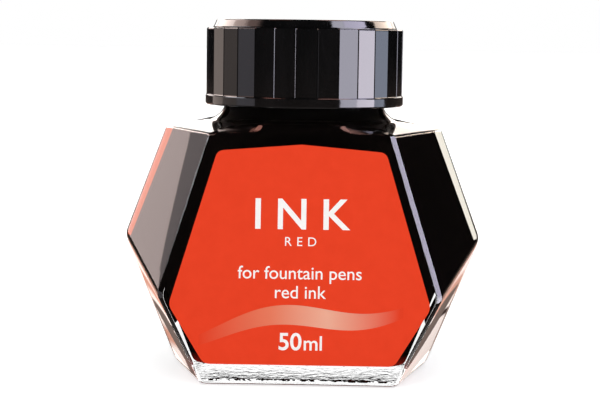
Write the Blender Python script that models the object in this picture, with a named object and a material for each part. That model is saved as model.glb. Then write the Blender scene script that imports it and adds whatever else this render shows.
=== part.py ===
"""A faceted glass ink bottle with a screw cap, in metres, +Z up.

The bottle stands on z = 0. Its neck axis is the Z axis, and its labelled front face looks along -Y.
The cap is a decorative shell and a top disc fixed on a threaded insert, and it unscrews from the neck.
"""

import math

import bmesh
import bpy
from mathutils import Matrix, Vector

# Glass body: the corners of its front right quarter, which the other three mirror.
SHOULDER_FRONT = Vector((0.0157, -0.0180, 0.04216))
SHOULDER_SIDE = Vector((0.0252, 0.0, 0.0425))
WAIST_FRONT = Vector((0.02438, -0.02163, 0.01487))
WAIST_SIDE_HEIGHT = 0.02334
BASE_FRONT_HALF_WIDTH = 0.0160
BASE_SIDE_HALF_WIDTH = 0.0230
SHOULDER_TOP = 0.04394
SHOULDER_TOP_HALF_WIDTH = 0.0175
SHOULDER_FRONT_SLOPE = 0.55
HEEL_BEVEL = 0.0016
EDGE_BEVEL = 0.0008
BEVELLED_ANGLE = math.radians(12)

# Glass walls, and the ink's gap to them.
FRONT_WALL = 0.0034
FACET_WALL = 0.0038
SHOULDER_WALL = 0.0026
FLOOR_WALL = 0.0033
CAVITY_BEVEL = 0.0018
GAP = 0.0003
INK_LEVEL = 0.0468

# Neck: a flared foot, a cylinder with the thread on it, and a rounded rim.
NECK_FOOT_RADIUS = 0.0176
NECK_FOOT_HEIGHT = 0.04395
NECK_FLARE_RADIUS = 0.0029
NECK_RADIUS = 0.0147
FINISH_RADIUS = 0.0141
FINISH_START = 0.0476
RIM_HEIGHT = 0.0549
RIM_ROUNDING = 0.0006
BORE_RADIUS = 0.0112
BORE_FLARE = 0.0022

# Thread: one start, right-handed. The cap's ridge runs below the neck's, and both have the same pitch.
THREAD_PITCH = 0.0032
NECK_RIDGE_START = 0.0499
NECK_RIDGE_TURNS = 1.1
NECK_RIDGE_CREST = 0.0150
CAP_RIDGE_DROP = 0.00145
CAP_RIDGE_CREST = 0.0144
CAP_RIDGE_TURNS = 1.0
RIDGE_ROOT_WIDTH = 0.0015
RIDGE_CREST_WIDTH = 0.0009
RIDGE_SINK = 0.0004
RIDGE_FADE = math.radians(35)

# Cap shell: thirty flat facets above a smooth band, with a seat for the top disc.
CAP_BOTTOM = 0.0471
BAND_RADIUS = 0.0180
BAND_TOP = 0.0489
FACET_COUNT = 30
FACET_CORNER_RADIUS = 0.01785
FACET_TOP = 0.0609
FACET_PHASE = math.radians(-90 - 5.6)
SHELL_BORE = 0.0165
SHELL_CHAMFER = 0.00025
DISC_SEAT_RADIUS = 0.01695
DISC_SEAT_HEIGHT = 0.0593
DISC_SEAT_BORE = 0.0150
DISC_SEAT_THICKNESS = 0.0013

# Top disc, threaded insert and liner.
DISC_RADIUS = 0.01665
DISC_EDGE_HEIGHT = 0.0612
DISC_TOP_RADIUS = 0.0160
DISC_TOP = 0.0624
INSERT_BOTTOM = 0.0475
INSERT_RADIUS = 0.0162
INSERT_BORE = 0.0153
INSERT_TOP = 0.0577
INSERT_PLATE = 0.0012
LINER_RADIUS = 0.0149
LINER_THICKNESS = 0.0010

# Labels: outlines on the leaning faces, as half width and height above the floor.
LABEL_THICKNESS = 0.0002
FRONT_LABEL = ((0.0163, 0.0035), (0.0225, 0.0134), (0.0145, 0.0398), (0.0, 0.0410))
BACK_LABEL = ((0.0130, 0.0110), (0.0130, 0.0330))
LABEL_CORNER = 0.0010

ROUND_SEGMENTS = 60
ARC_STEPS = 5


def clear_scene():
    for obj in list(bpy.data.objects):
        bpy.data.objects.remove(obj, do_unlink=True)


def material(name, color, roughness, transmission=0.0, ior=1.5):
    made = bpy.data.materials.new(name)
    made.use_nodes = True
    shader = made.node_tree.nodes["Principled BSDF"]
    shader.inputs["Base Color"].default_value = (*color, 1.0)
    shader.inputs["Roughness"].default_value = roughness
    shader.inputs["Metallic"].default_value = 0.0
    shader.inputs["Transmission Weight"].default_value = transmission
    shader.inputs["IOR"].default_value = ior
    made.diffuse_color = (*color, 1.0)
    return made


def object_from(bm, name, surface=None, parent=None):
    """The mesh as an object whose origin is on the Z axis, at its parent's height."""
    if parent:
        bmesh.ops.translate(bm, verts=bm.verts, vec=-parent.location)
    mesh = bpy.data.meshes.new(name)
    bm.to_mesh(mesh)
    bm.free()
    obj = bpy.data.objects.new(name, mesh)
    bpy.context.scene.collection.objects.link(obj)
    obj.parent = parent
    if surface:
        mesh.materials.append(surface)
    return obj


def cutter_from(bm, name):
    """A helper solid that only shapes another object."""
    obj = object_from(bm, name)
    obj.hide_render = True
    obj.display_type = "WIRE"
    return obj


def shade(obj, angle=math.radians(30)):
    obj.data.shade_smooth()
    obj.data.set_sharp_from_angle(angle=angle)


def add_boolean(obj, other, operation):
    modifier = obj.modifiers.new(f"{operation.lower()}_{other.name}", "BOOLEAN")
    modifier.operation = operation
    modifier.solver = "EXACT"
    modifier.object = other


def add_edge_bevel(obj, width, segments):
    modifier = obj.modifiers.new("rounded_edges", "BEVEL")
    modifier.limit_method = "WEIGHT"
    modifier.width = width
    modifier.segments = segments


# ---------------------------------------------------------------- faceted body


def plane_through(a, b, c):
    """A point on the plane, and its normal pointing away from the middle of the bottle."""
    normal = (b - a).cross(c - a).normalized()
    middle = Vector((0.0, 0.0, WAIST_SIDE_HEIGHT))
    return a, normal if normal.dot(a - middle) > 0 else -normal


def waist_side():
    """Where the upper facet meets the side ridge at the height of the waist."""
    point, normal = plane_through(SHOULDER_FRONT, WAIST_FRONT, SHOULDER_SIDE)
    x = point.x + (normal.y * point.y - normal.z * (WAIST_SIDE_HEIGHT - point.z)) / normal.x
    return Vector((x, 0.0, WAIST_SIDE_HEIGHT))


def lean():
    """How far the front and back faces move outwards for each metre down."""
    return (SHOULDER_FRONT.y - WAIST_FRONT.y) / (SHOULDER_FRONT.z - WAIST_FRONT.z)


def half_depth(height):
    return -SHOULDER_FRONT.y + lean() * (SHOULDER_FRONT.z - height)


def quarter_planes():
    """The planes of the front right quarter, each with the wall behind it."""
    base_front = Vector((BASE_FRONT_HALF_WIDTH, -half_depth(0.0), 0.0))
    base_side = Vector((BASE_SIDE_HALF_WIDTH, 0.0, 0.0))
    shoulder_top = Vector((SHOULDER_TOP_HALF_WIDTH, 0.0, SHOULDER_TOP))
    left = Vector((-1.0, 0.0, 0.0))
    inward = Vector((0.0, 1.0, SHOULDER_FRONT_SLOPE))
    return (
        (plane_through(SHOULDER_FRONT, WAIST_FRONT, SHOULDER_FRONT + left), FRONT_WALL),
        (plane_through(SHOULDER_FRONT, WAIST_FRONT, SHOULDER_SIDE), FACET_WALL),
        (plane_through(WAIST_FRONT, waist_side(), base_side), FACET_WALL),
        (plane_through(WAIST_FRONT, base_side, base_front), FACET_WALL),
        (plane_through(SHOULDER_FRONT, SHOULDER_SIDE, shoulder_top), SHOULDER_WALL),
        (plane_through(SHOULDER_FRONT, SHOULDER_FRONT + left, SHOULDER_FRONT + inward), SHOULDER_WALL),
    )


def faceted_solid(wall_share, extra):
    """A block cut down by every plane, each moved inwards by a share of its wall plus an extra."""
    bm = bmesh.new()
    bmesh.ops.create_cube(bm, size=0.2)
    cuts = []
    for (point, normal), wall in quarter_planes():
        for x_sign in (1, -1):
            for y_sign in (1, -1):
                turn = Matrix.Diagonal((x_sign, y_sign, 1))
                cuts.append((turn @ point, turn @ normal, wall))
    up = Vector((0.0, 0.0, 1.0))
    cuts.append((up * SHOULDER_TOP, up, SHOULDER_WALL))
    cuts.append((up * 0.0, -up, FLOOR_WALL))
    for point, normal, wall in cuts:
        cut_off(bm, point - normal * (wall * wall_share + extra), normal)
    bmesh.ops.remove_doubles(bm, verts=bm.verts, dist=1e-6)
    bmesh.ops.dissolve_limit(bm, angle_limit=1e-4, verts=bm.verts, edges=bm.edges)
    bmesh.ops.recalc_face_normals(bm, faces=bm.faces)
    return bm


def cut_off(bm, point, normal):
    """Removes what lies outside the plane, and closes the cut with one flat face."""
    everything = bm.verts[:] + bm.edges[:] + bm.faces[:]
    cut = bmesh.ops.bisect_plane(
        bm, geom=everything, dist=1e-7, plane_co=point, plane_no=normal, clear_outer=True
    )
    rim = [item for item in cut["geom_cut"] if isinstance(item, bmesh.types.BMEdge)]
    open_rim = [edge for edge in rim if edge.is_boundary]
    if open_rim:
        bmesh.ops.contextual_create(bm, geom=open_rim)


def weigh_edges(bm, floor, floor_weight, weight):
    """Marks the edges to round: those around the floor, and every other real corner."""
    layer = bm.edges.layers.float.new("bevel_weight_edge")
    for edge in bm.edges:
        on_floor = all(abs(vert.co.z - floor) < 1e-5 for vert in edge.verts)
        if on_floor:
            edge[layer] = floor_weight
        elif edge.calc_face_angle() > BEVELLED_ANGLE:
            edge[layer] = weight


# ---------------------------------------------------------------- turned shapes


def arc(center, radius, start, end, steps=ARC_STEPS):
    """Points (radius, height) along an arc, both ends included, angles in degrees."""
    points = []
    for i in range(steps + 1):
        angle = math.radians(start + (end - start) * i / steps)
        points.append((center[0] + radius * math.cos(angle), center[1] + radius * math.sin(angle)))
    return points


def facet_factor(angle):
    """How far in a facet lies at this angle, as a share of its corner radius."""
    width = math.tau / FACET_COUNT
    from_middle = (angle - FACET_PHASE) % width - width / 2
    return math.cos(width / 2) / math.cos(from_middle)


def turned(profile, segments=ROUND_SEGMENTS, start=0.0, closed=False):
    """A profile of (radius, height[, faceted]) points turned about the Z axis.

    An open profile starts and ends on the axis. A closed one makes a ring.
    """
    bm = bmesh.new()
    rings = []
    for radius, height, *faceted in profile:
        if radius == 0.0:
            rings.append([bm.verts.new((0.0, 0.0, height))])
            continue
        ring = []
        for i in range(segments):
            angle = start + math.tau * i / segments
            reach = radius * (facet_factor(angle) if faceted else 1.0)
            ring.append(bm.verts.new((reach * math.cos(angle), reach * math.sin(angle), height)))
        rings.append(ring)
    pairs = list(zip(rings, rings[1:]))
    if closed:
        pairs.append((rings[-1], rings[0]))
    for low, high in pairs:
        for i in range(segments):
            corners = [low[i % len(low)], low[(i + 1) % len(low)]]
            corners += [high[(i + 1) % len(high)], high[i % len(high)]]
            bm.faces.new(dict.fromkeys(corners))
    bmesh.ops.recalc_face_normals(bm, faces=bm.faces)
    return bm


def helical_ridge(start_height, turns, wall_radius, crest_radius, steps_per_turn=40):
    """A thread ridge that stands on a wall and fades out at both ends. It starts at angle 0."""
    bm = bmesh.new()
    inward = crest_radius < wall_radius
    foot_radius = wall_radius + (RIDGE_SINK if inward else -RIDGE_SINK)
    total = math.tau * turns
    steps = round(steps_per_turn * turns)
    sections = []
    for i in range(steps + 1):
        angle = total * i / steps
        rise = min(1.0, angle / RIDGE_FADE, (total - angle) / RIDGE_FADE)
        fade = max(0.02, math.sin(rise * math.pi / 2))
        crest = wall_radius + (crest_radius - wall_radius) * fade
        middle = start_height + THREAD_PITCH * angle / math.tau
        section = []
        for radius, offset in (
            (foot_radius, -RIDGE_ROOT_WIDTH / 2),
            (crest, -RIDGE_CREST_WIDTH / 2),
            (crest, RIDGE_CREST_WIDTH / 2),
            (foot_radius, RIDGE_ROOT_WIDTH / 2),
        ):
            section.append(bm.verts.new((radius * math.cos(angle), radius * math.sin(angle), middle + offset)))
        sections.append(section)
    for before, after in zip(sections, sections[1:]):
        for i in range(4):
            j = (i + 1) % 4
            bm.faces.new((before[i], before[j], after[j], after[i]))
    bm.faces.new(sections[0])
    bm.faces.new(sections[-1])
    bmesh.ops.recalc_face_normals(bm, faces=bm.faces)
    return bm


def neck_profile():
    """The neck from inside the body to the middle of its rim, with its bore still closed."""
    flare_center = (NECK_RADIUS + NECK_FLARE_RADIUS, NECK_FOOT_HEIGHT + NECK_FLARE_RADIUS)
    rim_center = (FINISH_RADIUS - RIM_ROUNDING, RIM_HEIGHT - RIM_ROUNDING)
    return (
        [(0.0, SHOULDER_FRONT.z - SHOULDER_WALL / 2), (NECK_FOOT_RADIUS, SHOULDER_FRONT.z - SHOULDER_WALL / 2)]
        + arc(flare_center, NECK_FLARE_RADIUS, 270, 180)
        + [(NECK_RADIUS, FINISH_START - (NECK_RADIUS - FINISH_RADIUS)), (FINISH_RADIUS, FINISH_START)]
        + arc(rim_center, RIM_ROUNDING, 0, 90, 3)
        + [(0.0, RIM_HEIGHT)]
    )


def bore_profile(gap, top):
    """The hollow of the neck, which widens into the cavity below it."""
    radius = BORE_RADIUS - gap
    flare_center = (radius + BORE_FLARE, NECK_FOOT_HEIGHT)
    bottom = NECK_FOOT_HEIGHT - BORE_FLARE
    return (
        [(0.0, bottom - 2 * SHOULDER_WALL), (radius + BORE_FLARE, bottom - 2 * SHOULDER_WALL)]
        + arc(flare_center, BORE_FLARE, 270, 180, 4)
        + [(radius, top), (0.0, top)]
    )


# ---------------------------------------------------------------- the pieces


def make_glass_bottle(surface):
    body = faceted_solid(0.0, 0.0)
    weigh_edges(body, 0.0, 1.0, EDGE_BEVEL / HEEL_BEVEL)
    bottle = object_from(body, "glass_bottle", surface)
    add_edge_bevel(bottle, HEEL_BEVEL, 3)
    add_boolean(bottle, cutter_from(turned(neck_profile()), "neck_solid"), "UNION")
    ridge = helical_ridge(NECK_RIDGE_START, NECK_RIDGE_TURNS, FINISH_RADIUS, NECK_RIDGE_CREST)
    add_boolean(bottle, cutter_from(ridge, "neck_ridge"), "UNION")
    hollow = faceted_solid(1.0, 0.0)
    weigh_edges(hollow, FLOOR_WALL, 1.0, 1.0)
    cavity = cutter_from(hollow, "cavity_cutter")
    add_edge_bevel(cavity, CAVITY_BEVEL, 3)
    add_boolean(bottle, cavity, "DIFFERENCE")
    bore = cutter_from(turned(bore_profile(0.0, RIM_HEIGHT + GAP)), "bore_cutter")
    add_boolean(bottle, bore, "DIFFERENCE")
    shade(bottle)


def make_ink(surface):
    filling = faceted_solid(1.0, GAP)
    weigh_edges(filling, FLOOR_WALL + GAP, 1.0, 1.0)
    ink = object_from(filling, "ink", surface)
    add_edge_bevel(ink, CAVITY_BEVEL, 3)
    column = cutter_from(turned(bore_profile(GAP, INK_LEVEL)), "ink_column")
    add_boolean(ink, column, "UNION")
    shade(ink)


def make_cap_shell(surface, cap):
    seat_bottom = DISC_SEAT_HEIGHT - DISC_SEAT_THICKNESS
    profile = [
        (SHELL_BORE, CAP_BOTTOM),
        (BAND_RADIUS - SHELL_CHAMFER, CAP_BOTTOM),
        (BAND_RADIUS, CAP_BOTTOM + SHELL_CHAMFER),
        (BAND_RADIUS, BAND_TOP - SHELL_CHAMFER),
        (BAND_RADIUS - SHELL_CHAMFER, BAND_TOP),
        (FACET_CORNER_RADIUS, BAND_TOP, True),
        (FACET_CORNER_RADIUS, FACET_TOP - SHELL_CHAMFER, True),
        (FACET_CORNER_RADIUS - SHELL_CHAMFER, FACET_TOP, True),
        (DISC_SEAT_RADIUS, FACET_TOP),
        (DISC_SEAT_RADIUS, DISC_SEAT_HEIGHT),
        (DISC_SEAT_BORE, DISC_SEAT_HEIGHT),
        (DISC_SEAT_BORE, seat_bottom),
        (SHELL_BORE, seat_bottom),
    ]
    shell = turned(profile, segments=2 * FACET_COUNT, start=FACET_PHASE, closed=True)
    shade(object_from(shell, "cap_shell", surface, cap), math.radians(8))


def make_cap_top_disc(surface, cap):
    bottom = DISC_SEAT_HEIGHT + GAP
    profile = [
        (0.0, bottom),
        (DISC_RADIUS, bottom),
        (DISC_RADIUS, DISC_EDGE_HEIGHT),
        (DISC_TOP_RADIUS, DISC_TOP),
        (0.0, DISC_TOP),
    ]
    shade(object_from(turned(profile), "cap_top_disc", surface, cap))


def make_cap_insert(surface, cap):
    profile = [
        (0.0, INSERT_TOP),
        (INSERT_RADIUS, INSERT_TOP),
        (INSERT_RADIUS, INSERT_BOTTOM),
        (INSERT_BORE, INSERT_BOTTOM),
        (INSERT_BORE, INSERT_TOP - INSERT_PLATE),
        (0.0, INSERT_TOP - INSERT_PLATE),
    ]
    insert = object_from(turned(profile), "cap_insert", surface, cap)
    ridge = helical_ridge(
        NECK_RIDGE_START - CAP_RIDGE_DROP, CAP_RIDGE_TURNS, INSERT_BORE, CAP_RIDGE_CREST
    )
    add_boolean(insert, cutter_from(ridge, "cap_ridge"), "UNION")
    shade(insert)


def make_cap_liner(surface, axis):
    top = INSERT_TOP - INSERT_PLATE - GAP
    bottom = top - LINER_THICKNESS
    profile = [(0.0, bottom), (LINER_RADIUS, bottom), (LINER_RADIUS, top), (0.0, top)]
    shade(object_from(turned(profile), "cap_liner", surface, axis))


def make_label(name, outline, side, surface):
    """A sheet just off the leaning face. Side is -1 for the front and 1 for the back."""
    right = list(outline)
    left = [(-half_width, height) for half_width, height in reversed(outline) if half_width > 0.0]
    out = Vector((0.0, side, lean())).normalized()
    bm = bmesh.new()
    corners = []
    for x, height in right + left:
        face_point = Vector((x, side * half_depth(height), height))
        corners.append(bm.verts.new(face_point + out * GAP))
    bm.faces.new(corners)
    rounded = [vert for vert in corners if abs(vert.co.x) > LABEL_CORNER]
    bmesh.ops.bevel(
        bm, geom=rounded, offset=LABEL_CORNER, segments=3, profile=0.5, affect="VERTICES"
    )
    grown = bmesh.ops.extrude_face_region(bm, geom=bm.faces[:], use_keep_orig=True)
    raised = [item for item in grown["geom"] if isinstance(item, bmesh.types.BMVert)]
    bmesh.ops.translate(bm, verts=raised, vec=out * LABEL_THICKNESS)
    bmesh.ops.recalc_face_normals(bm, faces=bm.faces)
    object_from(bm, name, surface)


def make_axis(name, height):
    """An empty on the neck axis, which carries the pieces that move together."""
    axis = bpy.data.objects.new(name, None)
    bpy.context.scene.collection.objects.link(axis)
    axis.location.z = height
    axis.empty_display_size = 0.02
    return axis


def main():
    clear_scene()
    glass = material("clear_glass", (0.97, 0.98, 0.98), 0.02, transmission=1.0, ior=1.52)
    red_ink = material("red_ink", (0.20, 0.008, 0.006), 0.05, ior=1.34)
    black_plastic = material("black_plastic", (0.012, 0.012, 0.013), 0.12)
    insert_plastic = material("insert_plastic", (0.03, 0.03, 0.032), 0.35)
    foam = material("liner_foam", (0.85, 0.84, 0.80), 0.8)
    red_paper = material("red_label", (0.82, 0.055, 0.02), 0.35)
    white_paper = material("white_label", (0.86, 0.85, 0.83), 0.45)
    make_glass_bottle(glass)
    make_ink(red_ink)
    make_label("front_label", FRONT_LABEL, -1, red_paper)
    make_label("back_label", BACK_LABEL, 1, white_paper)
    cap = make_axis("cap_axis", CAP_BOTTOM)
    make_cap_shell(black_plastic, cap)
    make_cap_top_disc(black_plastic, cap)
    make_cap_insert(insert_plastic, cap)
    make_cap_liner(foam, make_axis("liner_axis", RIM_HEIGHT))


main()
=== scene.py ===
"""The looks of the ink bottle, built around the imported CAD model, in metres.

The glass, the ink, the cap's shell and disc and both labels are fine meshes that replace their CAD nodes.
The cap's insert and liner keep their CAD meshes and get materials.
"""

import math

import bmesh
import bpy
from mathutils import Matrix, Vector


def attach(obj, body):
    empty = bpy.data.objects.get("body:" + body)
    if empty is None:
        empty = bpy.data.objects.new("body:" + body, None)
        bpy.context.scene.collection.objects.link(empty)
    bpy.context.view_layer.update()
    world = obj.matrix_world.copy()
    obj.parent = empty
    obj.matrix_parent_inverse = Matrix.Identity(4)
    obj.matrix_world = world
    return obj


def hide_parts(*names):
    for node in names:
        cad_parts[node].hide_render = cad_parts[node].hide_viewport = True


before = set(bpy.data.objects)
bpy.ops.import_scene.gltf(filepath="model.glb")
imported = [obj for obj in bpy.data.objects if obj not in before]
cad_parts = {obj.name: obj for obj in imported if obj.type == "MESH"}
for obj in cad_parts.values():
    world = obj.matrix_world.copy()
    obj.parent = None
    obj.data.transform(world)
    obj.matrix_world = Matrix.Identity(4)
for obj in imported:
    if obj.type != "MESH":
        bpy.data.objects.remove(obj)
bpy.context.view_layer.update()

# ---- Glass body: the front corner and the side corner of each key outline, in one quarter of the bottle
BASE = (Vector((0.0167, -0.0236, 0.0)), Vector((0.0239, 0.0, 0.0)))
WAIST = (Vector((0.02438, -0.02163, 0.01487)), Vector((0.0330, 0.0, 0.02345)))
RIM = (Vector((0.0157, -0.0180, 0.0427)), Vector((0.0254, 0.0, 0.0430)))
LEAN = (RIM[0].y - WAIST[0].y) / (RIM[0].z - WAIST[0].z)
CORNER_BEVEL = 0.00068
BASE_BEVEL = 0.00042
CORNER_ROUNDING = 0.00014
SIDE_FILLET = 0.0024
BASE_SIDE_FILLET = 0.0050
RIM_SIDE_FILLET = 0.0014
HEEL_FILLET = 0.0011
WAIST_FILLET = 0.0012
RIM_FILLET = 0.0005
# The underside: a shallow punt inside a ring that bears on the table, as shares of the base outline
PUNT_DEPTH = 0.00005
PUNT_SHARE = 0.70
BEARING_SHARE = 0.84
PUNT_FILLET = 0.0006
STIPPLE_TOP = 0.0007

# ---- Cavity: thicker glass at the side ridges, and a floor that rises towards the back
FRONT_WALL = 0.0034
FACET_WALL = 0.0029
RIDGE_EXTRA = 0.0018
CORNER_SHIFTS = (0.0017, 0.0003, 0.0)
FLOOR = 0.0028
FLOOR_RISE = 0.0038
CEILING = 0.0398
CAVITY_BEVEL = 0.0012
CAVITY_ROUNDING = 0.0006
CAVITY_SIDE_FILLET = 0.0016
FLOOR_FILLET = 0.0012
CAVITY_WAIST_FILLET = 0.0026
CEILING_FILLET = 0.0022
THROAT_FILLET = 0.0008
INNER_FLARE = ((0.0170, 0.0431), (0.0151, 0.0447), (0.0137, 0.0470))

# ---- Ink: it reaches a little into the glass, so that it wets it, and its lowest layer is painted red: a painted glow of light shining through the ink there
WETTING = 0.00006
INK_LEVEL = 0.0476
INK_RADIUS = 0.01258
MENISCUS_DEPTH = 0.0005
MENISCUS = ((0.97, 0.00025), (0.90, 0.0004), (0.6, MENISCUS_DEPTH))
# Heights over which the painted red glow at the bottom of the ink fades into black
PAINTED_GLOW_LAYER = (0.0030, 0.0060)

# ---- Neck: a flare at its foot, a step in to the finish, which carries the thread, and the bore
FOOT_RADIUS = 0.0177
FOOT_HEIGHT = 0.0444
FLARE_RADIUS = 0.0036
FLARE_OFFSET = 0.0002
FLARE_ARC = (268, 194)
NECK_RADIUS = 0.0147
NECK_STEP = 0.0001
FINISH_RADIUS = 0.0141
FINISH_START = 0.0476
FINISH_ROWS = 40
RIM_HEIGHT = 0.0549
RIM_ROUNDING = 0.0007
BORE_RADIUS = 0.0118
BORE_START = 0.0486
THREAD_PITCH = 0.0032
THREAD_START = 0.0499
THREAD_TURNS = 1.1
THREAD_CREST = 0.0150
THREAD_HALF_WIDTHS = (0.00045, 0.00075)
THREAD_BLEND = 0.0001
THREAD_FADE = math.radians(35)

# ---- Cap: a round band, flat facets with a fine groove at each corner, a seat, and the disc that lies on it
CAP_BOTTOM = 0.0471
BAND_RADIUS = 0.0180
BAND_TOP = 0.0489
BAND_ROUNDING = 0.0002
FACETS = 30
FACET_RADIUS = 0.01785
FACET_TOP = 0.0609
FACET_PHASE = math.radians(-94)
FACET_STEPS = (0.35, 0.65)
GROOVE_HALF_ANGLE = math.radians(0.40)
GROOVE_DEPTH = 0.00013
GROOVE_STEPS = ((-1.35, 0.0), (-1.0, 0.0), (0.0, 1.0), (1.0, 0.0), (1.35, 0.0))
CAP_ROUNDING = 0.0003
FINE_CHAMFER = 0.0001
SHELL_BORE = 0.0165
SEAT_RADIUS = 0.01695
SEAT_HEIGHT = 0.0593
SEAT_BORE = 0.0150
SEAT_THICKNESS = 0.0013
DISC_GAP = 0.0003
DISC_RADIUS = 0.01665
DISC_EDGE = 0.0612
DISC_TOP_RADIUS = 0.0160
DISC_TOP = 0.0624
DISC_COLUMNS = 180
# Steps inwards and upwards that soften the disc's edge below its chamfer, and the one above it
DISC_EDGE_STEPS = ((0.0, -0.0002), (0.00006, -0.00006), (0.00016, 0.0001))
DISC_TOP_STEPS = ((-0.0001, -0.00022), (0.00002, -0.00006), (0.0002, 0.0), (0.001, 0.0))

# ---- Labels, on the front face and on the back face
FRONT = -1
BACK = 1
# Corners of the right half: distance from the middle, height above the table
FRONT_LABEL = ((0.0163, 0.0035), (0.0225, 0.0134), (0.0145, 0.0398), (0.0, 0.0410))
BACK_LABEL = ((0.0130, 0.0110), (0.0130, 0.0330))
LABEL_CORNER = 0.0011
LABEL_LIFT = 0.00004
LABEL_THICKNESS = 0.00012

# ---- Print, on top of the labels: letters, a wave across the front label, and rules on the back label
PRINT_LEVEL = LABEL_LIFT + LABEL_THICKNESS
PRINT_LIFT = 0.000012
# Piece, words, letter height, middle, letter spacing, added stroke width
FRONT_PRINT = (
    ("word", "INK", 0.0074, (0.0, 0.0291), 1.55, 0.00010),
    ("color", "RED", 0.0022, (0.0, 0.0246), 1.7, 0.0),
    ("line_1", "for fountain pens", 0.0031, (0.0, 0.0192), 1.0, 0.00001),
    ("line_2", "red ink", 0.0031, (0.0, 0.0159), 1.0, 0.00001),
    ("number", "50", 0.0041, (-0.00155, 0.0074), 1.0, 0.00007),
    ("unit", "ml", 0.0035, (0.0024, 0.0072), 1.0, 0.00004),
)
WAVE_LEFT = -0.0172
WAVE_LENGTH = 0.0350
WAVE_FOOT = 0.0085
WAVE_RISE = 0.0052
WAVE_SWING = 0.0016
WAVE_PHASE = 0.1
WAVE_HALF_WIDTH = 0.0009
WAVE_SWELL = 0.0008
WAVE_STEPS = 60
WAVE_FADE = (-0.0200, 0.0200)
RULE_LEFT = -0.0100
RULE_WIDTHS = (0.0200,) * 5 + (0.0104,)
RULE_TOP = 0.0245
RULE_SPACING = 0.0019
RULE_HEIGHT = 0.0005

# ---- Table, lights, and a camera that looks from the front and slightly above
TABLE_SIZE = 12.0
TABLE_DROP = 0.0002
LIGHT_TARGET = Vector((0.0, 0.0, 0.035))
CAMERA_LENS = 96.85
CAMERA_SENSOR = 36.0
CAMERA_PLACE = Vector((-0.0005, -0.2950, 0.0598))
CAMERA_PITCH = -0.1021
CAMERA_ROLL = 0.0141
OBJECT_YAW = -0.0155

# The studio in reflections: colour, azimuths and elevations in degrees, softness of the edges, slant.
# Later panels are painted over earlier ones.
REFLECTED = (
    # Everything below the horizon
    ((0.130, 0.096, 0.084), None, (-95, -2), 1.0, 0.0),
    # Warm panels low at the back, on the left and on the right
    ((1.70, 1.42, 1.30), (-181, -161), (-19, -3), 0.5, 0.0),
    ((1.70, 1.45, 1.35), (161, 181), (-19, -3), 0.5, 0.0),
    ((1.50, 0.80, 0.60), (-160, -136), (-16, -8.8), 0.5, 0.0),
    ((1.20, 0.70, 0.55), (136, 160), (-16, -8.8), 0.5, 0.0),
    # Thin lines across them: salmon and dark, level and upright
    ((1.15, 0.55, 0.40), (-181, -161), (-15.4, -14.4), 0.3, 0.0),
    ((1.15, 0.55, 0.40), (-181, -161), (-12.2, -11.2), 0.3, 0.0),
    ((0.10, 0.06, 0.05), (-181, -161), (-13.5, -13.1), 0.1, 0.0),
    ((1.15, 0.60, 0.45), (161, 181), (-13.4, -12.2), 0.3, 0.0),
    ((0.10, 0.06, 0.05), (161, 181), (-14.6, -14.2), 0.1, 0.0),
    ((0.30, 0.22, 0.19), (-168.0, -164.4), (-17.5, -12.9), 0.15, 0.0),
    ((0.30, 0.22, 0.19), (164.2, 168.0), (-17.5, -12.9), 0.15, 0.0),
    # The steepest part of that in grey, with a bright panel on each side
    ((0.30, 0.26, 0.25), None, (-95, -24), 1.0, 0.0),
    ((7.50, 7.10, 6.90), (-130, -60), (-60, -28), 3.0, 0.0),
    ((7.50, 7.30, 7.10), (60, 130), (-60, -28), 3.0, 0.0),
    # A dark strip straight behind, below two pale panels
    ((0.20, 0.14, 0.12), (-181, -171.2), (-19, -2), 0.3, 0.0),
    ((0.20, 0.14, 0.12), (171.2, 181), (-19, -2), 0.3, 0.0),
    ((3.30, 3.00, 2.75), (150, 181), (7, 24), 2.0, 0.0),
    ((3.70, 3.50, 3.35), (-181, -150), (7, 24), 2.0, 0.0),
    # On the left, about level: pale, darker, then bluish towards the front
    ((1.58, 1.30, 1.18), (-131, -107), (-14, 2), 1.0, 0.0),
    ((0.72, 0.60, 0.56), (-107, -83), (-14, 2), 1.0, 0.0),
    ((0.85, 0.80, 0.90), (-83, -57), (-14, 6), 1.0, 0.0),
    # Above those: a grey panel and a pale one that meet in a slanted edge, under a bright strip
    ((0.85, 0.73, 0.73), (-124.35, -80), (2, 17), 0.04, 0.5),
    ((2.70, 2.20, 2.10), (-146, -124.35), (2, 17), 0.04, 0.5),
    ((6.00, 6.20, 6.80), (-110, -74), (16, 24), 1.0, 0.0),
    # Red glows high up on both sides
    ((4.50, 1.90, 1.50), (-135, -95), (66, 81), 2.0, 0.0),
    ((4.50, 2.30, 2.00), (80, 150), (62, 81), 2.0, 0.0),
    # Soft warm panels above the left, and brighter ones further back on both sides
    ((2.00, 1.35, 1.20), (-102, -72), (29, 52), 6.0, 0.0),
    ((5.50, 4.20, 3.80), (-118, -92), (25, 46), 5.0, 0.0),
    ((9.50, 7.90, 7.30), (-136, -113), (19, 46), 1.0, 0.0),
    ((9.50, 7.90, 7.30), (-150, -135), (13.5, 23), 1.0, 0.0),
    ((8.60, 7.00, 5.90), (112, 136), (19, 42), 1.0, 0.0),
    ((8.60, 7.00, 5.90), (135, 150), (13.5, 23), 1.0, 0.0),
    # Bluish white panels on the right
    ((2.80, 3.10, 3.90), (88, 106), (-14, 4), 1.0, 0.0),
    ((8.00, 7.80, 9.20), (44, 62), (-14, 56), 1.0, 0.0),
    ((12.0, 11.3, 13.0), (62, 88), (-14, 5), 1.0, 0.0),
    ((8.80, 8.30, 10.7), (62, 80), (5, 56), 1.0, 0.0),
    ((8.80, 8.30, 10.7), (79, 96), (33, 56), 1.0, 0.0),
)
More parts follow.
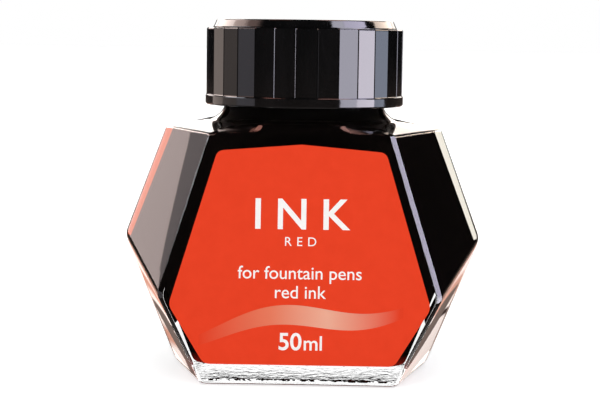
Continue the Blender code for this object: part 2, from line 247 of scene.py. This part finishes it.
# The same for what is seen through the glass: a red glow at the back on the right, cream on the left
SEEN_THROUGH = (
    ((0.66, 0.09, 0.01), (118, 160), (-34, 0), 3.0, 0.0),
    ((1.10, 1.04, 0.92), (-160, -118), (-34, 0), 3.0, 0.0),
)
UNLIT = (0.005, 0.005, 0.006, 1.0)
BRIGHT = (1.14, 1.14, 1.14, 1.0)
DIFFUSE_GREY = (0.45, 0.45, 0.45, 1.0)
WHITE = (1.0, 1.0, 1.0, 1.0)
# The colour sockets of a mix node, which share their names with its other sockets
MIX_UNDER = 6
MIX_OVER = 7
MIX_RESULT = 2


# ------------------------------------------------------------------ materials


class Tree:
    """Short ways to add nodes to a node tree and to link them."""

    def __init__(self, tree):
        self.tree = tree

    def add(self, kind, **settings):
        node = self.tree.nodes.new(kind)
        for key, value in settings.items():
            setattr(node, key, value)
        return node

    def link(self, source, target):
        self.tree.links.new(source, target)


class Surface(Tree):
    """A material with its Principled shader, and patterns in the object's own frame."""

    def __init__(self, name):
        self.material = bpy.data.materials.new(name)
        self.material.use_nodes = True
        super().__init__(self.material.node_tree)
        self.shader = self.tree.nodes["Principled BSDF"]
        self.place = self.add("ShaderNodeTexCoord").outputs["Object"]

    def set(self, **values):
        for key, value in values.items():
            self.shader.inputs[key.replace("_", " ")].default_value = value

    def noise(self, scale, detail=3.0, roughness=0.55, stretch=(1.0, 1.0, 1.0)):
        mapping = self.add("ShaderNodeMapping")
        mapping.inputs["Scale"].default_value = stretch
        self.link(self.place, mapping.inputs["Vector"])
        noise = self.add("ShaderNodeTexNoise")
        noise.inputs["Scale"].default_value = scale
        noise.inputs["Detail"].default_value = detail
        noise.inputs["Roughness"].default_value = roughness
        self.link(mapping.outputs["Vector"], noise.inputs["Vector"])
        return noise.outputs["Fac"]

    def along(self, axis, low, high):
        """A value that goes from 0 to 1 between two places on an axis."""
        split = self.add("ShaderNodeSeparateXYZ")
        self.link(self.place, split.inputs["Vector"])
        share = self.add("ShaderNodeMapRange")
        share.inputs["From Min"].default_value = low
        share.inputs["From Max"].default_value = high
        self.link(split.outputs[axis], share.inputs["Value"])
        return share.outputs["Result"]

    def ramp(self, value, *stops):
        """A colour ramp of (position, colour) stops. A grey may be given as one number."""
        ramp = self.add("ShaderNodeValToRGB")
        points = ramp.color_ramp.elements
        while len(points) < len(stops):
            points.new(0.5)
        for point, (position, color) in zip(points, stops):
            point.position = position
            point.color = (*color, 1.0) if isinstance(color, tuple) else (color, color, color, 1.0)
        self.link(value, ramp.inputs["Fac"])
        return ramp.outputs["Color"]

    def color(self, value, *stops):
        self.link(self.ramp(value, *stops), self.shader.inputs["Base Color"])

    def roughness(self, value, *stops):
        self.link(self.ramp(value, *stops), self.shader.inputs["Roughness"])

    def bump(self, height, distance, strength=1.0):
        bump = self.add("ShaderNodeBump")
        bump.inputs["Strength"].default_value = strength
        bump.inputs["Distance"].default_value = distance
        self.link(height, bump.inputs["Height"])
        self.link(bump.outputs["Normal"], self.shader.inputs["Normal"])


def glass_material():
    made = Surface("clear_glass")
    made.set(Base_Color=WHITE, Roughness=0.0, IOR=1.52, Transmission_Weight=1.0)
    made.roughness(made.noise(140.0, 2.0), (0.45, 0.0), (0.8, 0.006))
    made.bump(made.noise(55.0, 1.0), 0.000003)
    return made.material


def stippled_material():
    """The underside of the glass, with a fine stipple that breaks up what is seen through it."""
    made = Surface("stippled_glass")
    made.set(Base_Color=WHITE, Roughness=0.12, IOR=1.52, Transmission_Weight=1.0)
    grain = made.noise(600.0, 2.0)
    made.roughness(grain, (0.3, 0.0), (0.75, 0.04))
    made.bump(made.ramp(grain, (0.35, 0.0), (0.65, 1.0)), 0.00003)
    return made.material


def ink_material():
    """Ink looks black where it is deep; the thin layer at the bottom gets a painted deep red glow, for light
    shining through the ink there.
    """
    made = Surface("red_ink")
    made.set(Roughness=0.35, IOR=1.34, Specular_IOR_Level=0.0)
    # Painted glow: red low down, as if light shone through the ink, fading to near black higher up
    made.color(made.along("Z", *PAINTED_GLOW_LAYER), (0.0, (0.25, 0.012, 0.006)), (0.6, (0.005, 0.0035, 0.003)))
    return made.material


def cap_material(name, shine):
    """Polished black moulded plastic, with a faint flow texture and dust-fine wear."""
    made = Surface(name)
    made.set(IOR=1.5)
    flow = made.noise(260.0, 4.0, stretch=(1.0, 1.0, 0.25))
    grain = made.noise(2200.0, 3.0)
    made.color(flow, (0.35, (0.0030, 0.0030, 0.0032)), (0.7, (0.0060, 0.0056, 0.0060)))
    made.roughness(grain, (0.3, shine), (0.75, shine + 0.07))
    made.bump(grain, 0.00002, 0.35)
    return made.material


def insert_material():
    made = Surface("insert_plastic")
    grain = made.noise(900.0, 4.0)
    made.color(grain, (0.3, (0.020, 0.020, 0.022)), (0.75, (0.040, 0.040, 0.043)))
    made.roughness(made.noise(400.0), (0.3, 0.30), (0.75, 0.48))
    made.bump(grain, 0.00004, 0.5)
    return made.material


def foam_material():
    made = Surface("liner_foam")
    cells = made.add("ShaderNodeTexVoronoi")
    cells.inputs["Scale"].default_value = 2600.0
    made.link(made.place, cells.inputs["Vector"])
    made.color(cells.outputs["Distance"], (0.05, (0.62, 0.60, 0.55)), (0.5, (0.86, 0.84, 0.79)))
    made.set(Roughness=0.85)
    made.bump(cells.outputs["Distance"], 0.00012, 0.8)
    return made.material


def paper_material(name, dark, light, roughness, gloss=0.3):
    """Coated label paper: an even print with a faint mottle and a little fibre in its surface."""
    made = Surface(name)
    made.set(Specular_IOR_Level=gloss)
    made.color(made.noise(420.0, 5.0), (0.3, dark), (0.75, light))
    fibre = made.noise(3200.0, 4.0)
    made.roughness(fibre, (0.3, roughness), (0.75, roughness + 0.1))
    made.bump(fibre, 0.00001, 0.4)
    return made.material


def wave_material():
    """The pale wave on the label, which fades into the red at both ends."""
    made = Surface("label_wave")
    red = (0.77, 0.048, 0.0135)
    pale_left = (0.80, 0.20, 0.11)
    pale_right = (0.84, 0.42, 0.30)
    made.color(made.along("X", *WAVE_FADE), (0.07, red), (0.38, pale_left), (0.62, pale_right), (0.93, red))
    made.set(Roughness=0.6, Specular_IOR_Level=0.1)
    return made.material


# ------------------------------------------------------------------ mesh helpers


def piece(bm, name, body, node, surfaces, smooth=True, weighted=False):
    """The mesh as a finished piece of the object."""
    bmesh.ops.recalc_face_normals(bm, faces=bm.faces)
    mesh = bpy.data.meshes.new(name)
    bm.to_mesh(mesh)
    bm.free()
    if smooth:
        mesh.shade_smooth()
    for surface in surfaces:
        mesh.materials.append(surface)
    made = bpy.data.objects.new(name, mesh)
    bpy.context.scene.collection.objects.link(made)
    if weighted:
        keep = made.modifiers.new("flat_facets", "WEIGHTED_NORMAL")
        keep.mode = "FACE_AREA"
        keep.weight = 100
    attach(made, body)
    if node:
        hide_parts(node)
    return made


def spread(a, b, count):
    """count points from a, included, towards b, left out."""
    return [a.lerp(b, i / count) for i in range(count)]


def bend(before, corner, after, tangent, steps):
    """A rounded corner as a quadratic curve, from its first tangent point to its last."""
    a = corner + (before - corner).normalized() * tangent
    b = corner + (after - corner).normalized() * tangent
    points = []
    for i in range(steps + 1):
        t = i / steps
        points.append(a * (1 - t) ** 2 + corner * (2 * t * (1 - t)) + b * t**2)
    return points


def rounded_path(corners, tangents, steps, runs):
    """A path through the corners, rounded at each inner one, with points along each straight run."""
    turns = [[corners[0]]]
    for i in range(1, len(corners) - 1):
        turns.append(bend(corners[i - 1], corners[i], corners[i + 1], tangents[i - 1], steps))
    turns.append([corners[-1]])
    path = []
    for turn, following, run in zip(turns, turns[1:], runs):
        path += turn[:-1]
        path += spread(turn[-1], following[0], run)
    return path + turns[-1]


def outline(key, bevel=CORNER_BEVEL, rounding=CORNER_ROUNDING, side_fillet=SIDE_FILLET):
    """A closed hexagon from its front and side corners, bevelled at the first and rounded at the second."""
    front, side = key
    middle = Vector((0.0, front.y, front.z))
    near = front + (middle - front).normalized() * bevel
    far = front + (side - front).normalized() * bevel
    flip = Vector((1.0, -1.0, 1.0))
    corners = [middle, near, far, side, far * flip, near * flip, middle * flip]
    tangents = (rounding, rounding, side_fillet, rounding, rounding)
    right = rounded_path(corners, tangents, 4, (12, 2, 16, 16, 2, 12))
    left = [Vector((-point.x, point.y, point.z)) for point in reversed(right[1:-1])]
    return right + left


def inset(key, front_wall, side_wall):
    """The key outline moved inwards by each wall, at the same heights."""
    front, side = key
    along = Vector((side.x - front.x, side.y - front.y)).normalized()
    slope = along.x / along.y
    shift = side_wall / along.y
    inner_front = Vector((front.x + slope * front_wall - shift, front.y + front_wall, front.z))
    inner_side = Vector((side.x - shift, 0.0, side.z))
    return inner_front, inner_side


def between(low, high, height):
    """The key outline between two others whose front corner is at this height."""
    share = (height - low[0].z) / (high[0].z - low[0].z)
    return tuple(a.lerp(b, share) for a, b in zip(low, high))


def skin(columns, closed=True):
    """Faces between neighbouring columns. Where closed, all columns share their first and last points."""
    bm = bmesh.new()
    first = bm.verts.new(columns[0][0]) if closed else None
    last = bm.verts.new(columns[0][-1]) if closed else None
    grid = []
    for column in columns:
        line = [bm.verts.new(point) for point in column[1:-1]]
        line = [first or bm.verts.new(column[0])] + line + [last or bm.verts.new(column[-1])]
        grid.append(line)
    for here, there in zip(grid, grid[1:] + grid[:1]):
        for j in range(len(here) - 1):
            corners = (here[j], there[j], there[j + 1], here[j + 1])
            bm.faces.new(dict.fromkeys(corners))
    return bm


def ring_point(radius, angle, height):
    return Vector((radius * math.cos(angle), radius * math.sin(angle), height))


def arc(center, radius, start, end, steps):
    """(radius, height) points along an arc, angles in degrees."""
    points = []
    for i in range(steps + 1):
        angle = math.radians(start + (end - start) * i / steps)
        points.append((center[0] + radius * math.cos(angle), center[1] + radius * math.sin(angle)))
    return points


# ------------------------------------------------------------------ glass and ink


def thread_rise(angle, height):
    """How far the neck's ridge stands out of its wall at this angle and height."""
    crest_half, root_half = THREAD_HALF_WIDTHS
    total = math.tau * THREAD_TURNS
    best = 0.0
    for lap in range(-1, 3):
        along = angle % math.tau + math.tau * lap
        if not 0.0 <= along <= total:
            continue
        distance = abs(height - THREAD_START - THREAD_PITCH * along / math.tau)
        share = (root_half + THREAD_BLEND - distance) / (root_half - crest_half + 2 * THREAD_BLEND)
        share = max(0.0, min(1.0, share))
        fade = min(1.0, along / THREAD_FADE, (total - along) / THREAD_FADE)
        best = max(best, share * share * (3 - 2 * share) * math.sin(fade * math.pi / 2))
    return best * (THREAD_CREST - FINISH_RADIUS)


def neck_column(angle):
    """The outside of the neck, from its foot to the inner edge of its rim."""
    flare = (FOOT_RADIUS + FLARE_OFFSET, FOOT_HEIGHT + FLARE_RADIUS)
    profile = arc(flare, FLARE_RADIUS, *FLARE_ARC, 10)
    profile.append((NECK_RADIUS - NECK_STEP, FINISH_START - 2 * NECK_STEP))
    profile.append((FINISH_RADIUS + NECK_STEP, FINISH_START))
    points = [ring_point(radius, angle, height) for radius, height in profile]
    top = RIM_HEIGHT - RIM_ROUNDING
    for i in range(FINISH_ROWS + 1):
        height = FINISH_START + (top - FINISH_START) * i / FINISH_ROWS
        points.append(ring_point(FINISH_RADIUS + thread_rise(angle, height), angle, height))
    outer = arc((FINISH_RADIUS - RIM_ROUNDING, top), RIM_ROUNDING, 15, 90, 5)
    inner = arc((BORE_RADIUS + RIM_ROUNDING, top), RIM_ROUNDING, 90, 180, 5)
    return points + [ring_point(radius, angle, height) for radius, height in outer + inner]


def cavity_keys(deeper):
    """The cavity's outlines at its floor, waist and ceiling, grown into the walls by deeper."""
    walls = (FRONT_WALL - deeper, FACET_WALL - deeper)
    floor = inset(between(BASE, WAIST, FLOOR - deeper), *walls)
    waist = inset(WAIST, *walls)
    ceiling = inset(between(WAIST, RIM, CEILING + deeper), *walls)
    outlines = []
    for (front, side), shift in zip((floor, waist, ceiling), CORNER_SHIFTS):
        key = (front + Vector((shift, 0.0, 0.0)), side - Vector((RIDGE_EXTRA, 0.0, 0.0)))
        outlines.append(outline(key, CAVITY_BEVEL, CAVITY_ROUNDING, CAVITY_SIDE_FILLET))
    for point in outlines[0]:
        point.z = FLOOR - deeper + FLOOR_RISE * (0.5 + point.y / (2 * outlines[0][0].length))
    return outlines


def cavity_column(keys, index, angle, deeper, top):
    """The cavity's wall from the middle of its floor up into the neck."""
    floor, waist, ceiling = (key[index] for key in keys)
    pole = Vector((0.0, 0.0, FLOOR - deeper + FLOOR_RISE / 2))
    throat = [ring_point(radius + deeper, angle, height) for radius, height in (*INNER_FLARE, *top)]
    corners = [pole, floor, waist, ceiling, *throat]
    tangents = (FLOOR_FILLET, CAVITY_WAIST_FILLET, CEILING_FILLET) + (THROAT_FILLET,) * (len(throat) - 1)
    return rounded_path(corners, tangents, 5, (6, 7, 9) + (2,) * len(throat))


def make_glass():
    base = outline(BASE, bevel=BASE_BEVEL, side_fillet=BASE_SIDE_FILLET)
    waist = outline(WAIST)
    rim = outline(RIM, side_fillet=RIM_SIDE_FILLET)
    bore = ((BORE_RADIUS, BORE_START), (BORE_RADIUS, RIM_HEIGHT - RIM_ROUNDING))
    keys = cavity_keys(0.0)
    columns = []
    for i in range(len(base)):
        angle = math.atan2(rim[i].y, rim[i].x)
        middle = Vector((0.0, 0.0, PUNT_DEPTH))
        punt = Vector((base[i].x * PUNT_SHARE, base[i].y * PUNT_SHARE, PUNT_DEPTH))
        bearing = Vector((base[i].x * BEARING_SHARE, base[i].y * BEARING_SHARE, 0.0))
        foot = ring_point(FOOT_RADIUS, angle, FOOT_HEIGHT)
        rim_fillet = min(RIM_FILLET, 0.45 * (foot - rim[i]).length)
        corners = [middle, punt, bearing, base[i], waist[i], rim[i], foot]
        tangents = (PUNT_FILLET, PUNT_FILLET, HEEL_FILLET, WAIST_FILLET, rim_fillet)
        body = rounded_path(corners, tangents, 6, (5, 1, 2, 8, 12, 6))
        inside = cavity_column(keys, i, angle, 0.0, bore)
        columns.append(body[:-1] + neck_column(angle) + list(reversed(inside))[1:])
    glass = skin(columns)
    for face in glass.faces:
        if max(vert.co.z for vert in face.verts) < STIPPLE_TOP:
            face.material_index = 1
    surfaces = [glass_material(), stippled_material()]
    piece(glass, "glass_body", "bottle", "glass_bottle", surfaces, weighted=True)


def make_ink():
    keys = cavity_keys(WETTING)
    rim = outline(RIM)
    columns = []
    for i in range(len(rim)):
        angle = math.atan2(rim[i].y, rim[i].x)
        column = cavity_column(keys, i, angle, WETTING, ((INK_RADIUS, INK_LEVEL),))
        column += [ring_point(INK_RADIUS * share, angle, INK_LEVEL - drop) for share, drop in MENISCUS]
        columns.append(column + [Vector((0.0, 0.0, INK_LEVEL - MENISCUS_DEPTH))])
    piece(skin(columns), "ink_body", "bottle", "ink", [ink_material()], weighted=True)


# ------------------------------------------------------------------ cap


def facet_reach(angle):
    """A facet's distance from the axis at this angle, as a share of its corners' distance."""
    width = math.tau / FACETS
    from_middle = (angle - FACET_PHASE) % width - width / 2
    return math.cos(width / 2) / math.cos(from_middle)


def cap_angles():
    """Angles round the cap, each with the share of the groove's depth there."""
    width = math.tau / FACETS
    angles = []
    for i in range(FACETS):
        corner = FACET_PHASE + width * i
        angles += [(corner + share * GROOVE_HALF_ANGLE, depth) for share, depth in GROOVE_STEPS]
        angles += [(corner + width * share, 0.0) for share in FACET_STEPS]
    return angles


def make_cap_shell():
    seat_bottom = SEAT_HEIGHT - SEAT_THICKNESS
    band = arc((BAND_RADIUS - CAP_ROUNDING, CAP_BOTTOM + CAP_ROUNDING), CAP_ROUNDING, -90, 0, 4)
    band += arc((BAND_RADIUS - BAND_ROUNDING, BAND_TOP - BAND_ROUNDING), BAND_ROUNDING, 0, 90, 3)
    walls = [(FACET_RADIUS + FINE_CHAMFER / 2, BAND_TOP), (FACET_RADIUS, BAND_TOP + FINE_CHAMFER)]
    walls += [(FACET_RADIUS, BAND_TOP + (FACET_TOP - BAND_TOP) * share) for share in (0.1, 0.5, 0.9)]
    walls += arc((FACET_RADIUS - CAP_ROUNDING, FACET_TOP - CAP_ROUNDING), CAP_ROUNDING, 0, 90, 4)
    below = [(SHELL_BORE, CAP_BOTTOM + 2 * FINE_CHAMFER), (SHELL_BORE + 2 * FINE_CHAMFER, CAP_BOTTOM), *band]
    above = [(SEAT_RADIUS + FINE_CHAMFER, FACET_TOP), (SEAT_RADIUS, FACET_TOP - FINE_CHAMFER)]
    above += [(SEAT_RADIUS, SEAT_HEIGHT), (SEAT_BORE, SEAT_HEIGHT)]
    above += [(SEAT_BORE, seat_bottom), (SHELL_BORE, seat_bottom)]
    columns = []
    for angle, groove in cap_angles():
        column = [ring_point(radius, angle, height) for radius, height in below]
        for radius, height in walls:
            column.append(ring_point(radius * facet_reach(angle) - GROOVE_DEPTH * groove, angle, height))
        column += [ring_point(radius, angle, height) for radius, height in above]
        columns.append(column + [column[0]])
    shell = skin(columns, closed=False)
    bmesh.ops.remove_doubles(shell, verts=shell.verts, dist=1e-7)
    plastic = cap_material("cap_plastic", 0.05)
    made = piece(shell, "cap_skirt", "cap", "cap_shell", [plastic])
    made.data.set_sharp_from_angle(angle=math.radians(5))


def make_cap_disc():
    bottom = SEAT_HEIGHT + DISC_GAP
    profile = [(0.0, bottom), (DISC_RADIUS - FINE_CHAMFER, bottom), (DISC_RADIUS, bottom + FINE_CHAMFER)]
    profile += [(DISC_RADIUS - inwards, DISC_EDGE + up) for inwards, up in DISC_EDGE_STEPS]
    profile += [(DISC_TOP_RADIUS - inwards, DISC_TOP + up) for inwards, up in DISC_TOP_STEPS]
    profile.append((0.0, DISC_TOP))
    columns = []
    for i in range(DISC_COLUMNS):
        angle = math.tau * i / DISC_COLUMNS
        columns.append([ring_point(radius, angle, height) for radius, height in profile])
    plastic = cap_material("disc_plastic", 0.04)
    piece(skin(columns), "cap_disc", "cap", "cap_top_disc", [plastic], weighted=True)


# ------------------------------------------------------------------ labels


def label_frame(side):
    """A matrix from (across, up, out) on a leaning face to the bottle's own frame."""
    up = Vector((0.0, -side * LEAN, 1.0)).normalized()
    out = Vector((0.0, side, LEAN)).normalized()
    across = up.cross(out)
    foot = Vector((0.0, side * (-RIM[0].y + LEAN * RIM[0].z), 0.0))
    rows = Matrix((across, up, out)).transposed().to_4x4()
    return Matrix.Translation(foot) @ rows


def label_outline(shape):
    """A label's outline on its leaning face, with every corner rounded but the peak."""
    stretch = 1.0 / math.cos(math.atan(LEAN))
    right = [Vector((x, z * stretch, 0.0)) for x, z in shape]
    left = [Vector((-point.x, point.y, 0.0)) for point in reversed(right) if point.x > 0.0]
    corners = right + left
    points = []
    for i, corner in enumerate(corners):
        before, after = corners[i - 1], corners[(i + 1) % len(corners)]
        if corner.x == 0.0:
            points.append(corner)
        else:
            points += bend(before, corner, after, LABEL_CORNER, 6)
    return points


def sheet_from(points, lift, thickness):
    """A thin sheet with this outline, lying flat at this height."""
    bm = bmesh.new()
    low = [bm.verts.new((point.x, point.y, lift)) for point in points]
    high = [bm.verts.new((point.x, point.y, lift + thickness)) for point in points]
    bm.faces.new(low)
    bm.faces.new(high)
    for i in range(len(points)):
        j = (i + 1) % len(points)
        bm.faces.new((low[i], low[j], high[j], high[i]))
    return bm


def lay(bm, name, side, surface, node=None):
    """A sheet that was drawn flat, laid on the front or the back face of the bottle."""
    bmesh.ops.transform(bm, matrix=label_frame(side), verts=bm.verts)
    piece(bm, name, "bottle", node, [surface], smooth=False)


def text_sheet(words, size, middle, spacing=1.0, weight=0.0):
    """Flat letters as a thin mesh, centred on a point of the label."""
    curve = bpy.data.curves.new("letters", "FONT")
    curve.body = words
    curve.size = size
    curve.space_character = spacing
    curve.offset = weight
    curve.align_x = "CENTER"
    curve.align_y = "CENTER"
    curve.extrude = PRINT_LIFT / 2
    holder = bpy.data.objects.new("letters", curve)
    bpy.context.scene.collection.objects.link(holder)
    bpy.context.view_layer.update()
    flat = bpy.data.meshes.new_from_object(holder)
    bm = bmesh.new()
    bm.from_mesh(flat)
    bpy.data.objects.remove(holder)
    bpy.data.curves.remove(curve)
    bmesh.ops.translate(bm, verts=bm.verts, vec=(middle[0], middle[1], PRINT_LEVEL + PRINT_LIFT))
    bmesh.ops.remove_doubles(bm, verts=bm.verts, dist=1e-7)
    return bm


def wave_sheet():
    """A single soft wave across the lower part of the label."""
    upper = []
    lower = []
    for i in range(WAVE_STEPS + 1):
        share = i / WAVE_STEPS
        x = WAVE_LEFT + WAVE_LENGTH * share
        swing = WAVE_SWING * math.sin(math.tau * (share - WAVE_PHASE))
        middle = WAVE_FOOT + WAVE_RISE * share + swing
        half = WAVE_HALF_WIDTH + WAVE_SWELL * math.sin(math.pi * share)
        upper.append(Vector((x, middle + half, 0.0)))
        lower.append(Vector((x, middle - half, 0.0)))
    return sheet_from(lower + upper[::-1], PRINT_LEVEL, PRINT_LIFT)


def rule_sheet(width, bottom):
    """A plain printed line, in place of a line of small text."""
    right = RULE_LEFT + width
    top = bottom + RULE_HEIGHT
    corners = ((RULE_LEFT, bottom), (right, bottom), (right, top), (RULE_LEFT, top))
    return sheet_from([Vector((x, y, 0.0)) for x, y in corners], PRINT_LEVEL, PRINT_LIFT)


def make_labels():
    red = paper_material("label_red", (0.785, 0.050, 0.0140), (0.820, 0.0545, 0.0160), 0.60, 0.1)
    white = paper_material("label_white", (0.84, 0.83, 0.81), (0.88, 0.87, 0.85), 0.45)
    ink_white = paper_material("print_white", (0.95, 0.93, 0.91), (0.98, 0.96, 0.94), 0.40)
    ink_black = paper_material("print_black", (0.020, 0.020, 0.022), (0.035, 0.035, 0.038), 0.40)
    front = sheet_from(label_outline(FRONT_LABEL), LABEL_LIFT, LABEL_THICKNESS)
    lay(front, "label_front", FRONT, red, "front_label")
    back = sheet_from(label_outline(BACK_LABEL), LABEL_LIFT, LABEL_THICKNESS)
    lay(back, "label_back", BACK, white, "back_label")
    lay(wave_sheet(), "print_wave", FRONT, wave_material())
    for name, words, size, middle, spacing, weight in FRONT_PRINT:
        sheet = text_sheet(words, size, middle, spacing, weight)
        lay(sheet, f"print_{name}", FRONT, ink_white)
    lay(text_sheet("INK", 0.0038, (0.0, 0.0290), 1.3), "print_back_word", BACK, ink_black)
    for i, width in enumerate(RULE_WIDTHS):
        rule = rule_sheet(width, RULE_TOP - RULE_SPACING * i)
        lay(rule, f"print_back_rule_{i}", BACK, ink_black)


# ------------------------------------------------------------------ stage


def make_floor():
    """A white table that glows a little. Reflections and the glass see the world instead of it."""
    made = Surface("floor_white")
    made.set(Base_Color=(0.93, 0.93, 0.93, 1.0), Roughness=0.9, Specular_IOR_Level=0.1)
    made.set(Emission_Color=WHITE, Emission_Strength=0.62)
    bpy.ops.mesh.primitive_plane_add(size=TABLE_SIZE, location=(0.0, 0.0, -TABLE_DROP))
    floor = bpy.context.active_object
    floor.name = "floor"
    floor.data.materials.append(made.material)
    floor.visible_glossy = False
    floor.visible_transmission = False


def area_light(name, azimuth, elevation, distance, size, power):
    """A soft panel that faces the bottle and leaves no reflection. Azimuth 0 is in front, 90 to the right."""
    light = bpy.data.lights.new(name, "AREA")
    light.shape = "RECTANGLE"
    light.size, light.size_y = size
    light.energy = power
    holder = bpy.data.objects.new(name, light)
    bpy.context.scene.collection.objects.link(holder)
    azimuth, elevation = math.radians(azimuth), math.radians(elevation)
    level = math.cos(elevation)
    away = Vector((math.sin(azimuth) * level, -math.cos(azimuth) * level, math.sin(elevation)))
    holder.location = LIGHT_TARGET + away * distance
    holder.rotation_euler = away.to_track_quat("Z", "Y").to_euler()
    holder.visible_glossy = False
    holder.visible_transmission = False
    holder.visible_camera = False


def make_lights():
    area_light("front_fill", -8, 35, 1.6, (1.6, 1.2), 7.0)
    area_light("back_fill", 172, 40, 1.6, (1.6, 1.2), 6.0)


class Studio(Tree):
    """The world: panels of light painted by direction, in degrees. Azimuth 0 is in front, 90 to the right."""

    def __init__(self):
        self.world = bpy.data.worlds.new("studio")
        self.world.use_nodes = True
        super().__init__(self.world.node_tree)
        self.tree.nodes.clear()
        self.paths = self.add("ShaderNodeLightPath")
        split = self.add("ShaderNodeSeparateXYZ")
        self.link(self.add("ShaderNodeTexCoord").outputs["Generated"], split.inputs["Vector"])
        front = self.math("MULTIPLY", split.outputs["Y"], -1.0)
        self.azimuth = self.math("DEGREES", self.math("ARCTAN2", split.outputs["X"], front))
        self.elevation = self.math("DEGREES", self.math("ARCSINE", split.outputs["Z"]))

    def feed(self, value, target):
        if isinstance(value, bpy.types.NodeSocket):
            self.link(value, target)
        else:
            target.default_value = value

    def math(self, operation, *values):
        node = self.add("ShaderNodeMath", operation=operation)
        for value, target in zip(values, node.inputs):
            self.feed(value, target)
        return node.outputs["Value"]

    def step(self, value, edge, soft):
        node = self.add("ShaderNodeMapRange", interpolation_type="SMOOTHSTEP")
        node.inputs["From Min"].default_value = edge - soft
        node.inputs["From Max"].default_value = edge + soft
        self.link(value, node.inputs["Value"])
        return node.outputs["Result"]

    def band(self, value, low, high, soft):
        return self.math("SUBTRACT", self.step(value, low, soft), self.step(value, high, soft))

    def paint(self, under, color, azimuths, elevations, soft, slant):
        """The colours so far with a panel over them, whose upright edges lean by slant degrees in one."""
        mask = self.band(self.elevation, *elevations, soft)
        if azimuths:
            along = self.math("MULTIPLY_ADD", self.elevation, slant, self.azimuth)
            mask = self.math("MULTIPLY", mask, self.band(along, *azimuths, soft))
        return self.mix(mask, under, (*color, 1.0))

    def mix(self, share, under, over):
        node = self.add("ShaderNodeMix", data_type="RGBA", clamp_result=False)
        self.feed(share, node.inputs["Factor"])
        self.feed(under, node.inputs[MIX_UNDER])
        self.feed(over, node.inputs[MIX_OVER])
        return node.outputs[MIX_RESULT]


def make_world():
    """White behind the bottle, brighter through its glass, grey for diffuse light, panels in reflections."""
    studio = Studio()
    reflected = UNLIT
    for panel in REFLECTED:
        reflected = studio.paint(reflected, *panel)
    through = BRIGHT
    for panel in SEEN_THROUGH:
        through = studio.paint(through, *panel)
    color = studio.mix(studio.paths.outputs["Is Glossy Ray"], DIFFUSE_GREY, reflected)
    color = studio.mix(studio.paths.outputs["Is Transmission Ray"], color, through)
    color = studio.mix(studio.paths.outputs["Is Camera Ray"], color, WHITE)
    background = studio.add("ShaderNodeBackground")
    studio.link(color, background.inputs["Color"])
    output = studio.add("ShaderNodeOutputWorld")
    studio.link(background.outputs["Background"], output.inputs["Surface"])
    bpy.context.scene.world = studio.world


def make_camera():
    camera = bpy.data.cameras.new("camera")
    camera.lens = CAMERA_LENS
    camera.sensor_width = CAMERA_SENSOR
    camera.clip_start = 0.01
    holder = bpy.data.objects.new("camera", camera)
    bpy.context.scene.collection.objects.link(holder)
    forward = Vector((0.0, math.cos(CAMERA_PITCH), math.sin(CAMERA_PITCH)))
    right = Vector((1.0, 0.0, 0.0))
    up = right.cross(forward)
    rolled_right = right * math.cos(CAMERA_ROLL) + up * math.sin(CAMERA_ROLL)
    rolled_up = up * math.cos(CAMERA_ROLL) - right * math.sin(CAMERA_ROLL)
    axes = Matrix((rolled_right, rolled_up, -forward)).transposed().to_4x4()
    turn = Matrix.Rotation(-OBJECT_YAW, 4, "Z")
    holder.matrix_world = turn @ Matrix.Translation(CAMERA_PLACE) @ axes
    bpy.context.scene.camera = holder


def set_view():
    """Plain colours, and enough bounces for light to pass through the thick glass."""
    scene = bpy.context.scene
    scene.view_settings.view_transform = "Standard"
    scene.view_settings.look = "None"
    scene.cycles.max_bounces = 24
    scene.cycles.transmission_bounces = 20
    scene.cycles.transparent_max_bounces = 16
    scene.cycles.glossy_bounces = 10
    scene.cycles.caustics_reflective = True
    scene.cycles.caustics_refractive = True


def give(node, surface):
    """A CAD node that stays, with a finished material."""
    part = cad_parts[node]
    part.material_slots[0].material = surface


make_glass()
make_ink()
make_cap_shell()
make_cap_disc()
give("cap_insert", insert_material())
give("cap_liner", foam_material())
make_labels()
make_floor()
make_lights()
make_world()
make_camera()
set_view()
